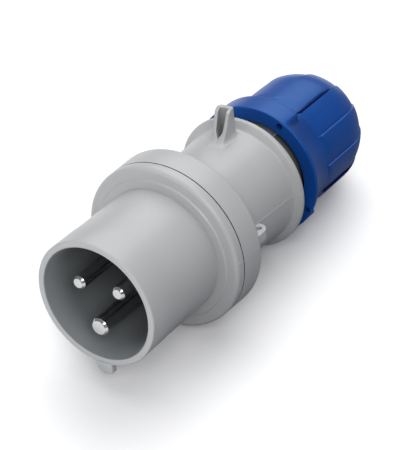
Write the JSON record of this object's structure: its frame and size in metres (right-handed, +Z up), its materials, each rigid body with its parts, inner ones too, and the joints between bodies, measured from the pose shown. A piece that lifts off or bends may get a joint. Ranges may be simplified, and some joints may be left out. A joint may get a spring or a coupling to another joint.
{
  "type": "industrial pin and sleeve plug",
  "caption": "Round industrial power plug with a keyed shroud round its contact pins, a wide flange, a slim handle with a lid hook, and a domed ribbed gland nut.",
  "frame": {"origin": "middle of the shroud's rim on the plug's own axis", "axes": "+Y runs back from the pins towards the gland nut, 5.9 degrees above the plug's axis, +Z is up from the table that the plug lies on, +X is to the right for someone who looks at the pins from in front"},
  "size_m": [0.0742, 0.1789, 0.0749],
  "materials": {
    "housing_grey": "fine satin moulded polyamide",
    "carrier_grey": "satin moulded thermoset",
    "nut_blue": "satin moulded polyamide",
    "collet_plastic": "satin moulded polyamide",
    "pin_metal": "nickel-plated and turned",
    "screw_steel": "zinc-plated",
    "seal_rubber": "matt"
  },
  "bodies": {
    "housing": {"front_housing": "housing_grey", "housing_seal": "seal_rubber", "rear_housing": "housing_grey", "pin_carrier": "carrier_grey", "carrier_back_plate": "carrier_grey", "back_plate_screws": "screw_steel", "snap_ring": "screw_steel", "phase_pin": "pin_metal", "neutral_pin": "pin_metal", "earth_pin": "pin_metal", "phase_clamp_plate": "screw_steel", "neutral_clamp_plate": "screw_steel", "earth_clamp_plate": "screw_steel", "terminal_screws": "screw_steel"},
    "cable_clamp": {"slip_ring": "collet_plastic", "clamp_collet": "collet_plastic", "gland_bush": "seal_rubber", "bush_insert": "seal_rubber"},
    "nut": {"gland_nut": "nut_blue"}
  },
  "joints": [
    {"name": "gland_travel", "type": "slide", "parent": "housing", "child": "cable_clamp", "axis": [0, 0.9947, -0.1026], "range_m": [-0.008, 0.012]},
    {"name": "gland_nut_turn", "type": "hinge", "parent": "cable_clamp", "child": "nut", "pos_m": [0, 0.14483, -0.01494], "axis": [0, 0.9947, -0.1026], "range_deg": [-960, 1440]}
  ],
  "couplings": [
    {"joint": "gland_travel", "follows": "gland_nut_turn", "m_per_rad": 0.000477}
  ]
}
